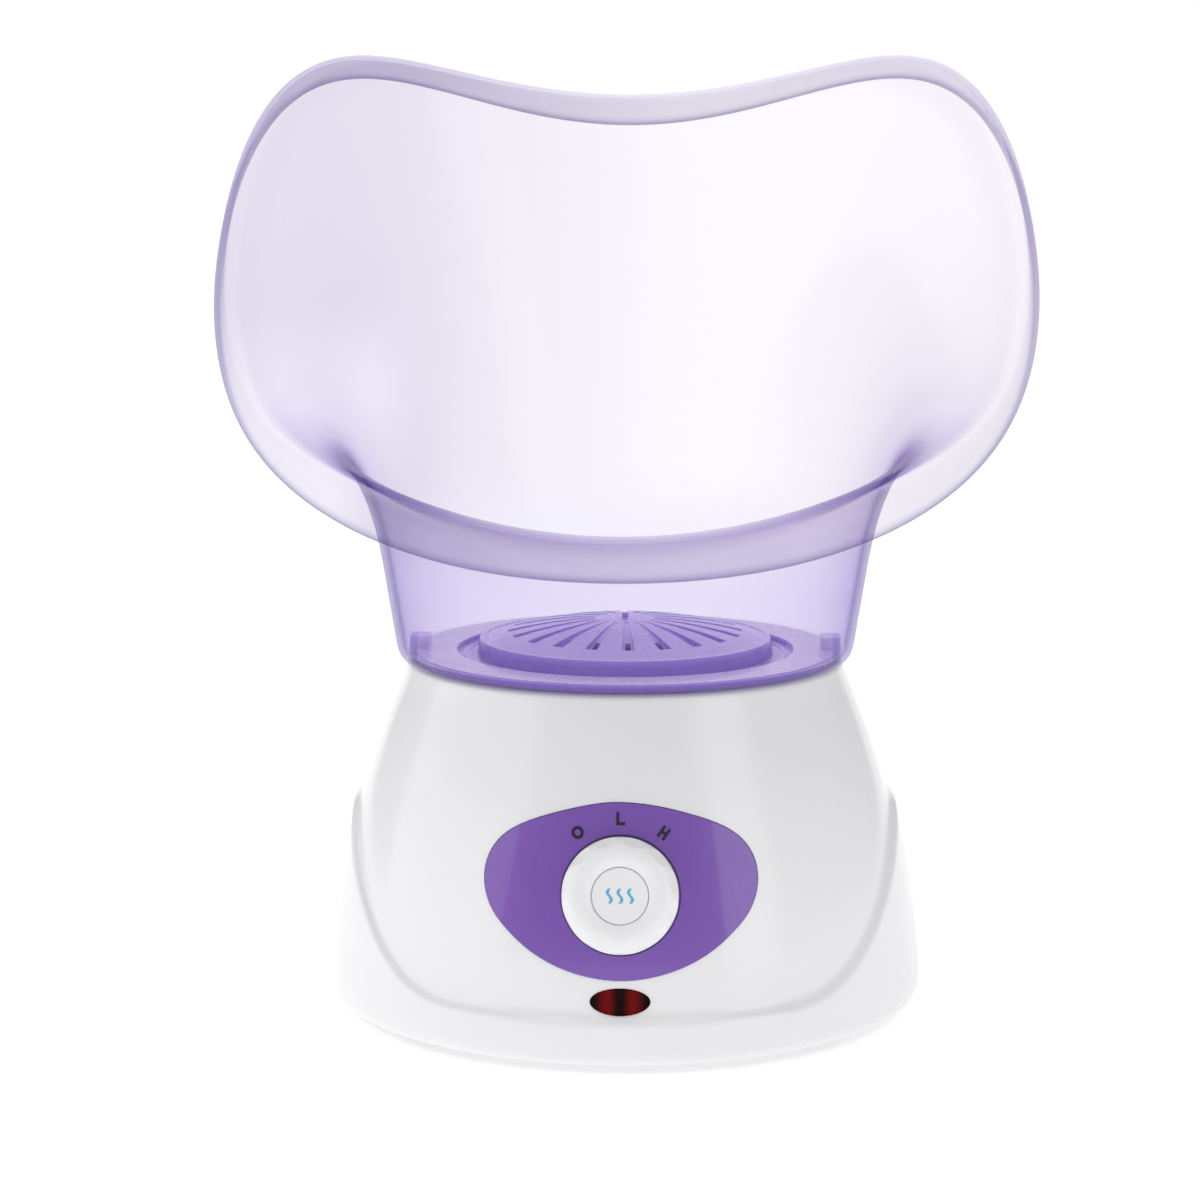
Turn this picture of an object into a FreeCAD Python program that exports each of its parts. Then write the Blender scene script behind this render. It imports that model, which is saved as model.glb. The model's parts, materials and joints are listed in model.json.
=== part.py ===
"""Facial steamer: a white bell-shaped base with a heated water bowl, a ribbed
steam plate on top of it, and a clear bean-shaped face mask that lifts off.

Millimetres. X is to the user's right of the front, Y runs from front to back,
Z is up. The origin is on the base's axis, on the table that the feet stand on.
"""
import FreeCAD, Part
import math
import os

V = FreeCAD.Vector
Z_AXIS = V(0, 0, 1)
ORIGIN = V(0, 0, 0)

# Heights of the stack, from the table up
RIM_Z = 2.4                 # bottom edge of the housing
COVER_BOTTOM_Z = 3.7
COVER_TOP_Z = 6.2
DECK_Z = 92.4               # flat top of the housing
DECK_THICKNESS = 3.0
PLATE_GAP = 0.25            # between the deck and the steam plate and mask that stand on it
PLATE_FLANGE = 2.1
MASK_WALL = 2.0

# Housing: outer radius of the skirt by height; the body above the crease is stepped in
SKIRT_PROFILE = [(8, 80.2), (20, 79.3), (34, 77.7), (47, 75.2), (57, 72.6),
                 (70.4, 68.3), (80.8, 64.3), (87.4, 61.5), (92.4, 59.5)]
CREASE_STEP = 2.0
CREASE_FRONT_Z = 14.0
CREASE_SIDE_Z = 55.0
CREASE_RISE_START_DEG = 35.0
CREASE_RISE_END_DEG = 90.0
HOUSING_WALL = 2.6
COVER_SEAT_R = 76.4

# Control panel and knob, on an axis that leans back with the front of the housing
KNOB_Z = 45.0
KNOB_TILT_DEG = 13.0
KNOB_R = 14.5
KNOB_GAP = 0.6
COLLAR_WALL = 1.2            # the panel's edge that lines the knob's recess
COLLAR_FLOOR = 0.5
COLLAR_HOLE_R = 12.6
RECESS_DEPTH = 3.2
PAD_R = 20.5
PAD_DEPTH = 7.0
PANEL_PROUD = 0.4
PANEL_DEPTH = 1.3
PANEL_GAP = 0.15
PANEL_OUTLINE = [(0, 22.0), (9.5, 20.9), (18.0, 18.6), (24.8, 15.9), (30.0, 12.3), (33.0, 8.0),
                 (34.2, 3.5), (33.8, -1.5), (31.9, -5.9), (28.3, -10.0), (23.6, -13.9),
                 (18.2, -17.0), (11.2, -19.5), (0, -21.0)]
MARK_RADIUS = 18.3
MARK_ANGLE_DEG = 36.0
MARK_HEIGHT = 3.0
MARK_STROKE = 0.65
MARK_PROUD = 0.2
KNOB_BACK = -2.2            # distances along the knob axis, outward from the panel
KNOB_SHOULDER = 4.0
KNOB_CROWN = 7.6
SCOOP_COUNT = 12            # shallow hollows round the crown, for the fingers
SCOOP_R = 22.0
SCOOP_LEAN_DEG = 36.0
CAP_R = 7.0
CAP_BACK = 5.95
CAP_TOP = 6.7
SYMBOL_HEIGHT = 3.6
SYMBOL_PITCH = 2.6
SYMBOL_SWAY = 0.5
SYMBOL_STROKE = 0.7
SHAFT_R = 3.0
BUSHING_BORE_R = 3.05
BUSHING_R = 4.7

# Indicator lamp, below the panel
LENS_Z = 18.6
LENS_HALF_WIDTH = 7.4
LENS_HALF_HEIGHT = 3.3
LENS_BACK = 71.1            # how far in front of the axis the lens begins

# Steam plate and water bowl
DECK_HOLE_R = 44.0
PLATE_R = 56.2
PLATE_SKIRT_R = 43.6
PLATE_SKIRT_DROP = 4.2
GROOVE_R = 45.3
GROOVE_DEPTH = 1.3
DOME_R = 38.4
DOME_EDGE_RISE = 2.6         # the dome's edge stands this far above the plate's flat
DOME_RISE = 5.7
DOME_WALL = 2.4
FLUTE_COUNT = 20             # flutes that run down the dome, each with a steam hole at its foot
FLUTE_TURN_DEG = 2.4
FLUTE_INNER_R = 8.0
FLUTE_OUTER_R = 31.5
FLUTE_INNER_HALF = 0.5
FLUTE_OUTER_HALF = 1.7
FLUTE_FLOOR_R = 97.0         # radius of the ball that the flutes' floors follow
HOLE_START_R = 24.5
HOLE_WIDTH = 1.5
PIN_R = 0.8
PIN_RISE = 1.2
MASK_HOLE_R = 56.5
KEY_WIDTH = 7.4
KEY_INNER_R = 52.6
KEY_R = 57.8
KEY_RISE = 3.4
BOWL_R = 40.0
BOWL_FLOOR_R = 36.0
BOWL_FLOOR_Z = 63.5
BOWL_WALL = 1.5
BOWL_FLANGE_R = 55.0
BOWL_SCREW_R = 51.8
SEAL_THICKNESS = 1.6
STUD_R = 32.0
BOWL_SCREW_DEG = 30.0        # first of three, and the studs start on the X axis
HEATER_R = 27.0
HEATER_THICKNESS = 5.8
MICA_THICKNESS = 0.6
CLAMP_R = 36.0
CLAMP_THICKNESS = 1.5
THERMOSTAT_R = 8.0

# Bottom cover
POST_R = 68.0
FOOT_R = 52.0
FOOT_RADIUS = 8.0
GROMMET_Z = 16.0
GROMMET_BORE_R = 3.6

# Mask: mid-surface rings from the floor's inner edge to the free edge. Each is
# half width, half depth, how much the back is wider than the front, and the height
# at the front and every 30 degrees round to the back.
FLOOR_MID_Z = DECK_Z + PLATE_GAP + MASK_WALL / 2
MASK_RINGS = [
    (MASK_HOLE_R, MASK_HOLE_R, 0.0, [FLOOR_MID_Z] * 7),
    (59.2, 59.2, 0.0, [FLOOR_MID_Z] * 7),
    (60.2, 60.2, 0.0, [FLOOR_MID_Z + 1.25] * 7),
    (60.8, 60.8, 0.0, [FLOOR_MID_Z + 5.35] * 7),
    (62.6, 62.6, 0.0, [110.0] * 7),
    (64.6, 64.8, 0.0, [121, 121, 122, 123, 123, 123, 123]),
    (66.8, 67.7, 0.0, [127, 127.6, 130, 133, 138, 140, 140]),
    (71.0, 71.7, 0.01, [130.5, 132.7, 138, 146, 160, 165, 165]),
    (78.0, 75.0, 0.03, [132.1, 135.8, 145, 162, 190, 198, 195.5]),
    (87.0, 77.5, 0.045, [133.3, 138.2, 150.5, 175, 214, 224.6, 220]),
    (96.2, 79.5, 0.055, [134.1, 140.2, 154.5, 186, 235, 241.4, 234.2]),
    (103.0, 81.5, 0.068, [134.7, 141.8, 157, 195, 246.5, 250.8, 242.6]),
    (106.9, 86.0, 0.068, [133.3, 140.2, 156.5, 197, 245.5, 250.3, 241.6]),
    (108.6, 89.5, 0.068, [125.3, 130.5, 149.5, 189, 238, 244.8, 233.4]),
]
MASK_POLES_ROUND = 36
BELL_POLES_ROUND = 48


# ---------------------------------------------------------------- helpers

def save(shape, node):
    """Write one node's solids as STEP."""
    shape.exportStep("parts/" + node + ".step")


def cylinder(radius, bottom, top, x=0.0, y=0.0):
    return Part.makeCylinder(radius, top - bottom, V(x, y, bottom), Z_AXIS)


def tube(outer, inner, bottom, top, x=0.0, y=0.0):
    return cylinder(outer, bottom, top, x, y).cut(cylinder(inner, bottom - 1, top + 1, x, y))


def box(low, high):
    size = V(*high).sub(V(*low))
    return Part.makeBox(size.x, size.y, size.z, V(*low))


def revolve(points):
    """Turn a closed outline of (radius, height) points about Z."""
    corners = [V(r, 0, z) for r, z in points]
    return Part.Face(Part.makePolygon(corners + [corners[0]])).revolve(ORIGIN, Z_AXIS, 360)


def around(shape, count, first_deg=0.0):
    """Copies of a shape, equally spaced about Z."""
    copies = []
    for i in range(count):
        copy = shape.copy()
        copy.rotate(ORIGIN, Z_AXIS, first_deg + 360.0 * i / count)
        copies.append(copy)
    return copies


def polar(radius, degrees):
    return radius * math.cos(math.radians(degrees)), radius * math.sin(math.radians(degrees))


def interpolate(table, x):
    """Straight-line value between the (x, value) pairs of a table."""
    if x <= table[0][0]:
        return table[0][1]
    for (x0, v0), (x1, v1) in zip(table, table[1:]):
        if x <= x1:
            return v0 + (v1 - v0) * (x - x0) / (x1 - x0)
    return table[-1][1]


def cosine_curve(stops, angle):
    """Smooth value round a ring, even about the front, through equally spaced stops."""
    last = len(stops) - 1
    value = 0.0
    for k in range(last + 1):
        term = 0.0
        for j, stop in enumerate(stops):
            weight = 0.5 if j in (0, last) else 1.0
            term += weight * stop * math.cos(k * j * math.pi / last)
        term *= (1.0 if k in (0, last) else 2.0) / last
        value += term * math.cos(k * angle)
    return value


def spline_surface(rings, degree):
    """Surface over rings of poles: closed round each ring, clamped across them."""
    count = len(rings[0])
    spans = len(rings) - degree
    poles = [[rings[j][i] for j in range(len(rings))] for i in range(count)]
    surface = Part.BSplineSurface()
    surface.buildFromPolesMultsKnots(
        poles,
        [1] * (count + 1), [degree + 1] + [1] * (spans - 1) + [degree + 1],
        [float(i) for i in range(count + 1)], [float(i) for i in range(spans + 1)],
        True, False, 3, degree)
    return surface.toShape()


def sewn_solid(faces):
    """Close a set of faces that share their edges into one solid."""
    skin = Part.makeCompound(faces)
    skin.sewShape(0.01)
    solid = Part.Solid(skin.Shells[0])
    if solid.Volume < 0:
        solid.reverse()
    return solid


def pole_spread(count):
    """Factor that makes a closed cubic spline of this many poles pass through a circle."""
    return 3.0 / (2.0 + math.cos(2 * math.pi / count))


# ---------------------------------------------------------------- housing

def skirt_radius(z):
    return interpolate(SKIRT_PROFILE, z)


def crease_height(angle):
    """Height of the skirt's upper edge; angle is measured from the front."""
    off_front = abs(math.degrees(math.atan2(math.sin(angle), math.cos(angle))))
    span = CREASE_RISE_END_DEG - CREASE_RISE_START_DEG
    share = min(max((off_front - CREASE_RISE_START_DEG) / span, 0.0), 1.0)
    return CREASE_FRONT_Z + (CREASE_SIDE_Z - CREASE_FRONT_Z) * (1 - math.cos(math.pi * share)) / 2


def bell_column(angle, offset):
    """(radius, height) of the bell's outer poles at one angle, bottom to top."""
    crease = crease_height(angle)
    column = [(77.0, RIM_Z), (78.4, RIM_Z), (79.8, RIM_Z + 1.0), (80.3, RIM_Z + 4.0)]
    low = RIM_Z + 4.0
    for share in (0.5, 1.0):
        z = low + (crease - 1.4 - low) * share
        column.append((skirt_radius(z), z))
    column.append((skirt_radius(crease) - 0.1, crease - 0.3))
    column.append((skirt_radius(crease) - CREASE_STEP, crease + 0.7))
    low = crease + 2.2
    for share in (0.0, 0.2, 0.4, 0.6, 0.8, 1.0):
        z = low + (DECK_Z - 5.0 - low) * share
        column.append((skirt_radius(z) - CREASE_STEP, z))
    column += [(58.6, DECK_Z - 1.2), (58.2, DECK_Z), (54.0, DECK_Z)]
    return [(radius + offset, z) for radius, z in column]


def bell_solid(offset=0.0):
    """The housing's outer form as a solid block, grown or shrunk sideways."""
    spread = pole_spread(BELL_POLES_ROUND)
    columns = []
    for i in range(BELL_POLES_ROUND):
        angle = 2 * math.pi * i / BELL_POLES_ROUND
        columns.append([V(r * spread * math.sin(angle), -r * spread * math.cos(angle), z)
                        for r, z in bell_column(angle, offset)])
    rings = [[column[j] for column in columns] for j in range(len(columns[0]))]
    skin = spline_surface(rings, 3)
    ends = []
    for edge in skin.Edges:
        if len(edge.Vertexes) == 1 and edge.BoundBox.ZLength < 0.01:
            ends.append(Part.Face(Part.Wire(edge)))
    return sewn_solid([skin] + ends)


KNOB_TILT = math.radians(KNOB_TILT_DEG)
KNOB_OUT = V(0, -math.cos(KNOB_TILT), math.sin(KNOB_TILT))
KNOB_UP = V(0, math.sin(KNOB_TILT), math.cos(KNOB_TILT))
PANEL_CENTRE = V(0, -(skirt_radius(KNOB_Z) - CREASE_STEP + PANEL_PROUD), KNOB_Z)


def on_knob_axis(along, right=0.0, up=0.0):
    """A point given by its distance out from the panel and its offsets across it."""
    return PANEL_CENTRE.add(KNOB_OUT * along).add(V(right, 0, 0)).add(KNOB_UP * up)


def knob_cylinder(radius, low, high, right=0.0, up=0.0):
    return Part.makeCylinder(radius, high - low, on_knob_axis(low, right, up), KNOB_OUT)


def knob_block(width, height, low, high, right=0.0, up=0.0):
    """A block square to the knob axis."""
    corners = []
    for sx, sy in ((-1, -1), (1, -1), (1, 1), (-1, 1)):
        corners.append(on_knob_axis(low, right + sx * width / 2, up + sy * height / 2))
    face = Part.Face(Part.makePolygon(corners + [corners[0]]))
    return face.extrude(KNOB_OUT * (high - low))


def panel_prism(gap):
    """The panel's outline, grown by a gap and run through the housing's front."""
    points = []
    for x, z in PANEL_OUTLINE + [(-x, z) for x, z in PANEL_OUTLINE[-2:0:-1]]:
        length = math.hypot(x, z)
        grow = (length + gap) / length
        points.append(V(x * grow, 0, KNOB_Z + z * grow))
    curve = Part.BSplineCurve()
    curve.interpolate(points, PeriodicFlag=True)
    face = Part.Face(Part.Wire(curve.toShape()))
    return face.extrude(V(0, -120, 0))


def lens_prism(gap, back, front):
    """Upright oval prism that runs in from the front."""
    ellipse = Part.Ellipse(V(0, -back, LENS_Z), LENS_HALF_WIDTH + gap, LENS_HALF_HEIGHT + gap)
    ellipse.rotate(FreeCAD.Placement(V(0, -back, LENS_Z), V(1, 0, 0), 90,))
    return Part.Face(Part.Wire(ellipse.toShape())).extrude(V(0, back - front, 0))


def screw(x, y, head_bottom, head_top, head_r, shank_r, tip, drive=True):
    """A pan-head screw that points up, with a cross recess under its head."""
    body = cylinder(head_r, head_bottom, head_top, x, y)
    body = body.fuse(cylinder(shank_r, head_top, tip, x, y))
    if drive:
        arm = head_r * 0.62
        slot = head_r * 0.14
        floor = head_bottom + (head_top - head_bottom) * 0.5
        for half_x, half_y in ((arm, slot), (slot, arm)):
            body = body.cut(box((x - half_x, y - half_y, head_bottom - 1),
                                (x + half_x, y + half_y, floor)))
    return body


def housing(bell):
    deck_bottom = DECK_Z - DECK_THICKNESS
    inside = [(0, RIM_Z - 1), (COVER_SEAT_R, RIM_Z - 1), (COVER_SEAT_R, COVER_TOP_Z),
              (COVER_SEAT_R - 1.6, COVER_TOP_Z)]
    for z in (20, 34, 47, 57, 70.4, 80.8):
        inside.append((skirt_radius(z) - CREASE_STEP - HOUSING_WALL, z))
    inside += [(skirt_radius(deck_bottom) - CREASE_STEP - HOUSING_WALL, deck_bottom),
               (0, deck_bottom)]
    shell = bell.cut(revolve(inside))

    pad = knob_cylinder(PAD_R, -PAD_DEPTH, 0).common(bell_solid(-0.9))
    posts = []
    for i in range(4):
        x, y = polar(POST_R, 45 + 90 * i)
        posts.append(cylinder(4.0, COVER_TOP_Z, 72.0, x, y).common(bell_solid(-0.9)))
    ear = cylinder(3.2, deck_bottom - SEAL_THICKNESS, DECK_Z - 2, BOWL_SCREW_R, 0)
    shell = shell.fuse([pad] + posts + around(ear, 3, BOWL_SCREW_DEG))

    cuts = [cylinder(DECK_HOLE_R, 80, 100)]
    cuts.append(panel_prism(PANEL_GAP).cut(bell_solid(-PANEL_DEPTH)))
    cuts.append(knob_cylinder(KNOB_R + KNOB_GAP + COLLAR_WALL + 0.1, -RECESS_DEPTH, 10))
    cuts.append(knob_cylinder(BUSHING_R + 0.1, -30, 0))
    cuts.append(lens_prism(0.15, 60, 100))
    cuts.append(Part.makeCylinder(5.1, 40, V(0, 60, GROMMET_Z), V(0, 1, 0)))
    for i in range(4):
        x, y = polar(POST_R, 45 + 90 * i)
        cuts.append(cylinder(1.5, 5, 20, x, y))
    cuts += around(cylinder(1.5, 80, DECK_Z - 0.9, BOWL_SCREW_R, 0), 3, BOWL_SCREW_DEG)
    return shell.cut(cuts)


def bottom_cover():
    cover = cylinder(COVER_SEAT_R - 0.3, COVER_BOTTOM_Z, COVER_TOP_Z)
    cuts = []
    for i in range(-4, 5):
        half = 20 - 1.5 * abs(i)
        cuts.append(box((-half, i * 6 - 1.5, 0), (half, i * 6 + 1.5, 10)))
    for i in range(4):
        x, y = polar(POST_R, 45 + 90 * i)
        cuts.append(cylinder(1.8, 0, 10, x, y))
        cuts.append(cylinder(3.3, 0, COVER_BOTTOM_Z + 1.4, x, y))
        x, y = polar(FOOT_R, 45 + 90 * i)
        cuts.append(cylinder(FOOT_RADIUS + 0.2, 0, COVER_BOTTOM_Z + 1.0, x, y))
    return cover.cut(cuts)


def rubber_feet():
    feet = []
    for i in range(4):
        x, y = polar(FOOT_R, 45 + 90 * i)
        foot = cylinder(FOOT_RADIUS, 0, COVER_BOTTOM_Z + 1.0, x, y)
        low_edges = [e for e in foot.Edges if e.BoundBox.ZMax < 0.1]
        feet.append(foot.makeFillet(0.8, low_edges))
    return Part.makeCompound(feet)


def base_screws():
    top = COVER_BOTTOM_Z + 1.4
    screws = []
    for i in range(4):
        x, y = polar(POST_R, 45 + 90 * i)
        screws.append(screw(x, y, top - 1.3, top, 2.9, 1.45, 18.0))
    return Part.makeCompound(screws)


def cord_grommet():
    """Bush in the rear wall that the mains cord passes through."""
    outline = [(GROMMET_BORE_R, 71.8), (7.0, 71.8), (7.0, 73.9), (5.0, 73.9),
               (5.0, 80.4), (7.4, 80.4), (6.6, 82.8), (GROMMET_BORE_R, 82.8)]
    bush = revolve(outline)
    bush.rotate(ORIGIN, V(1, 0, 0), -90)
    bush.translate(V(0, 0, GROMMET_Z))
    return bush


# ---------------------------------------------------------------- controls

def control_panel():
    """Inlay over the housing's front, with a collar down into the knob's recess."""
    inlay = panel_prism(0).common(bell_solid(PANEL_PROUD)).cut(bell_solid(-PANEL_DEPTH))
    collar = knob_cylinder(KNOB_R + KNOB_GAP + COLLAR_WALL, 0.05 - RECESS_DEPTH, 10)
    inlay = inlay.fuse(collar.common(bell_solid(PANEL_PROUD)))
    recess = knob_cylinder(KNOB_R + KNOB_GAP, 0.05 - RECESS_DEPTH + COLLAR_FLOOR, 30)
    return inlay.cut([recess, knob_cylinder(COLLAR_HOLE_R, -30, 30)])


def dial_marks():
    """The letters O, L and H round the knob, as thin raised print."""
    high = MARK_HEIGHT / 2
    wide = MARK_HEIGHT * 0.36
    half = MARK_STROKE / 2

    def bar(x0, z0, x1, z1):
        return box((x0, -100, z0), (x1, -40, z1))

    ring = Part.makeCylinder(high, 60, V(0, -40, 0), V(0, -1, 0))
    ring = ring.cut(Part.makeCylinder(high - MARK_STROKE, 60, V(0, -40, 0), V(0, -1, 0)))
    letter_l = bar(-wide, -high, -wide + MARK_STROKE, high)
    letter_l = letter_l.fuse(bar(-wide, -high, wide, -high + MARK_STROKE))
    letter_h = bar(-wide, -high, -wide + MARK_STROKE, high)
    letter_h = letter_h.fuse([bar(wide - MARK_STROKE, -high, wide, high),
                              bar(-wide, -half, wide, half)])
    skin = bell_solid(PANEL_PROUD + MARK_PROUD).cut(bell_solid(PANEL_PROUD))
    marks = []
    for glyph, degrees in ((ring, -MARK_ANGLE_DEG), (letter_l, 0), (letter_h, MARK_ANGLE_DEG)):
        glyph = glyph.copy()
        glyph.translate(V(0, 0, MARK_RADIUS))
        glyph.rotate(ORIGIN, V(0, 1, 0), degrees)
        glyph.translate(V(0, 0, KNOB_Z))
        marks.append(glyph.common(skin))
    return Part.makeCompound(marks)


def control_knob():
    """Low round knob with shallow finger hollows round its crown and a dished centre."""
    outline = [(0, KNOB_BACK), (KNOB_R, KNOB_BACK), (KNOB_R, KNOB_SHOULDER)]
    axis_points = [V(r, 0, z) for r, z in outline]
    sides = Part.makePolygon(axis_points)
    crown = Part.BSplineCurve()
    crown.interpolate([V(KNOB_R, 0, KNOB_SHOULDER), V(KNOB_R - 2.2, 0, KNOB_CROWN - 0.6),
                       V(KNOB_R - 5.0, 0, KNOB_CROWN), V(CAP_R + 0.2, 0, KNOB_CROWN - 1.0)])
    close = Part.makePolygon([V(CAP_R + 0.2, 0, KNOB_CROWN - 1.0), V(CAP_R + 0.2, 0, CAP_BACK),
                              V(0, 0, CAP_BACK), V(0, 0, KNOB_BACK)])
    face = Part.Face(Part.Wire(sides.Edges + [crown.toShape()] + close.Edges))
    knob = face.revolve(ORIGIN, Z_AXIS, 360)
    lean = math.radians(SCOOP_LEAN_DEG)
    along = V(-math.sin(lean), 0, math.cos(lean))
    across = V(math.cos(lean), 0, math.sin(lean))
    chord = V(KNOB_R - 1.1, 0, (KNOB_SHOULDER + KNOB_CROWN - 0.6) / 2)
    start = chord.add(across * SCOOP_R).sub(along * 8)
    scoop = Part.makeCylinder(SCOOP_R, 16, start, along)
    knob = knob.cut(around(scoop, SCOOP_COUNT, 180 / SCOOP_COUNT))
    knob = knob.cut([cylinder(9.5, -5, 0.4), cylinder(SHAFT_R, -5, 5.4)])
    return seat_on_knob_axis(knob)


def seat_on_knob_axis(shape):
    """Move a shape modelled along +Z from the origin onto the knob's axis."""
    shape = shape.copy()
    shape.rotate(ORIGIN, V(1, 0, 0), 90 - KNOB_TILT_DEG)
    shape.translate(PANEL_CENTRE)
    return shape


def knob_cap():
    """Smooth disc set into the middle of the knob."""
    disc = cylinder(CAP_R, CAP_BACK, CAP_TOP)
    top_edges = [e for e in disc.Edges if e.BoundBox.ZMin > CAP_TOP - 0.2 and len(e.Vertexes) == 1]
    return seat_on_knob_axis(disc.makeFillet(0.4, top_edges))


def cap_symbol():
    """Plain steam symbol on the disc: three wavy upright strokes of thin raised print."""
    steps = 12
    strokes = []
    for middle in (-SYMBOL_PITCH, 0, SYMBOL_PITCH):
        left = []
        right = []
        for i in range(steps + 1):
            sway = middle + SYMBOL_SWAY * math.sin(2 * math.pi * i / steps)
            up = SYMBOL_HEIGHT * (i / steps - 0.5)
            left.append(V(sway - SYMBOL_STROKE / 2, up, CAP_TOP))
            right.append(V(sway + SYMBOL_STROKE / 2, up, CAP_TOP))
        outline = left + right[::-1] + left[:1]
        strokes.append(Part.Face(Part.makePolygon(outline)).extrude(V(0, 0, 0.12)))
    return seat_on_knob_axis(Part.makeCompound(strokes))


def switch_shaft():
    """Round spindle that turns the contacts inside the switch."""
    return knob_cylinder(SHAFT_R - 0.02, -16.0, 5.3)


def rotary_switch():
    case = knob_block(24, 24, -22.0, -PAD_DEPTH)
    case = case.fuse(knob_cylinder(BUSHING_R, -PAD_DEPTH - 1, -0.7))
    return case.cut(knob_cylinder(BUSHING_BORE_R, -16.3, 3))


def switch_terminals():
    blades = []
    for right in (-7, 0, 7):
        blades.append(knob_block(4.8, 0.8, -28.0, -22.0, right, -4))
    return Part.makeCompound(blades)


def switch_nut():
    corners = []
    for i in range(6):
        x, y = polar(8.0, 60 * i)
        corners.append(V(x, y, -RECESS_DEPTH))
    nut = Part.Face(Part.makePolygon(corners + [corners[0]])).extrude(V(0, 0, 2.0))
    nut = nut.cut(cylinder(BUSHING_R, -10, 10))
    return seat_on_knob_axis(nut)


def indicator_lens(bell_proud):
    lens = lens_prism(0, LENS_BACK, 100).common(bell_proud)
    hollow = Part.makeCylinder(2.3, 5.0, V(0, 0.5 - LENS_BACK, LENS_Z), V(0, -1, 0))
    return lens.cut(hollow)


def lamp_holder():
    front = 0.2 - LENS_BACK
    block = box((-9, front, LENS_Z - 5), (9, front + 12.3, LENS_Z + 5))
    return block.cut(Part.makeCylinder(2.9, 30, V(0, front + 10.3, LENS_Z), V(0, -1, 0)))


def neon_lamp():
    back = 8.5 - LENS_BACK
    glass = Part.makeCylinder(2.0, 10, V(0, back, LENS_Z), V(0, -1, 0))
    tip = Part.makeSphere(2.0, V(0, back - 10, LENS_Z))
    return glass.fuse(tip)


# ---------------------------------------------------------------- water and heat

FLANGE_TOP_Z = DECK_Z - DECK_THICKNESS - SEAL_THICKNESS
FLANGE_BOTTOM_Z = FLANGE_TOP_Z - BOWL_WALL
BOWL_UNDER_Z = BOWL_FLOOR_Z - BOWL_WALL
MICA_TOP_Z = BOWL_UNDER_Z - HEATER_THICKNESS
CLAMP_TOP_Z = MICA_TOP_Z - MICA_THICKNESS
CLAMP_BOTTOM_Z = CLAMP_TOP_Z - CLAMP_THICKNESS


def water_bowl():
    """Pressed aluminium dish that the water is boiled in."""
    dish = revolve([(0, BOWL_FLOOR_Z), (BOWL_FLOOR_R - 5, BOWL_FLOOR_Z),
                    (BOWL_FLOOR_R - 1.5, BOWL_FLOOR_Z + 1.4), (BOWL_FLOOR_R, BOWL_FLOOR_Z + 4.5),
                    (BOWL_R, FLANGE_TOP_Z), (BOWL_FLANGE_R, FLANGE_TOP_Z),
                    (BOWL_FLANGE_R, FLANGE_BOTTOM_Z), (BOWL_R + BOWL_WALL, FLANGE_BOTTOM_Z),
                    (BOWL_FLOOR_R + BOWL_WALL, BOWL_FLOOR_Z + 4.5),
                    (BOWL_FLOOR_R, BOWL_FLOOR_Z - 0.3), (BOWL_FLOOR_R - 3, BOWL_UNDER_Z),
                    (0, BOWL_UNDER_Z)])
    stud = cylinder(3.0, CLAMP_TOP_Z, BOWL_UNDER_Z + 0.5, STUD_R, 0)
    dish = dish.fuse(around(stud, 3))
    holes = around(cylinder(1.7, 70, 90, BOWL_SCREW_R, 0), 3, BOWL_SCREW_DEG)
    holes += around(cylinder(1.5, 50, BOWL_UNDER_Z - 0.8, STUD_R, 0), 3)
    return dish.cut(holes)


def bowl_seal():
    return tube(48.2, DECK_HOLE_R + 0.5, FLANGE_TOP_Z, DECK_Z - DECK_THICKNESS)


def bowl_screws():
    one = screw(BOWL_SCREW_R, 0, FLANGE_BOTTOM_Z - 2.0, FLANGE_BOTTOM_Z, 2.8, 1.45,
                DECK_Z - 1.2)
    return Part.makeCompound(around(one, 3, BOWL_SCREW_DEG))


def heater_plate():
    plate = cylinder(HEATER_R, MICA_TOP_Z, BOWL_UNDER_Z)
    tabs = [box((-2.5, -HEATER_R - 5, MICA_TOP_Z + 2.6), (2.5, -HEATER_R + 1, MICA_TOP_Z + 3.2))]
    tabs.append(box((-2.5, HEATER_R - 1, MICA_TOP_Z + 2.6), (2.5, HEATER_R + 5, MICA_TOP_Z + 3.2)))
    return plate.fuse(tabs)


def mica_sheet():
    return tube(HEATER_R - 1, THERMOSTAT_R + 0.5, CLAMP_TOP_Z, MICA_TOP_Z)


def heater_clamp():
    disc = tube(CLAMP_R, THERMOSTAT_R + 0.5, CLAMP_BOTTOM_Z, CLAMP_TOP_Z)
    holes = around(cylinder(1.7, 40, 60, STUD_R, 0), 3)
    holes += [cylinder(1.3, 40, 60, 13, 0), cylinder(1.3, 40, 60, -13, 0)]
    windows = around(box((14, -4, 40), (26, 4, 60)), 4, 50)
    return disc.cut(holes + windows)


def clamp_screws():
    one = screw(STUD_R, 0, CLAMP_BOTTOM_Z - 2.0, CLAMP_BOTTOM_Z, 2.8, 1.45, BOWL_UNDER_Z - 1.0)
    return Part.makeCompound(around(one, 3))


def thermostat():
    """Snap-disc thermostat whose cap touches the heater through the clamp."""
    flange_bottom = CLAMP_BOTTOM_Z - 0.8
    can = cylinder(THERMOSTAT_R, flange_bottom - 11, MICA_TOP_Z)
    ears = box((-17, -4, flange_bottom), (17, 4, CLAMP_BOTTOM_Z))
    blades = [box((x - 0.4, -2.4, flange_bottom - 19), (x + 0.4, 2.4, flange_bottom - 10))
              for x in (-4, 4)]
    holes = [cylinder(1.3, 40, 60, 13, 0), cylinder(1.3, 40, 60, -13, 0)]
    return can.fuse([ears] + blades).cut(holes)


def thermostat_screws():
    bottom = CLAMP_BOTTOM_Z - 0.8
    one = screw(13, 0, bottom - 1.6, bottom, 2.2, 1.25, CLAMP_TOP_Z)
    return Part.makeCompound(around(one, 2))


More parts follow.
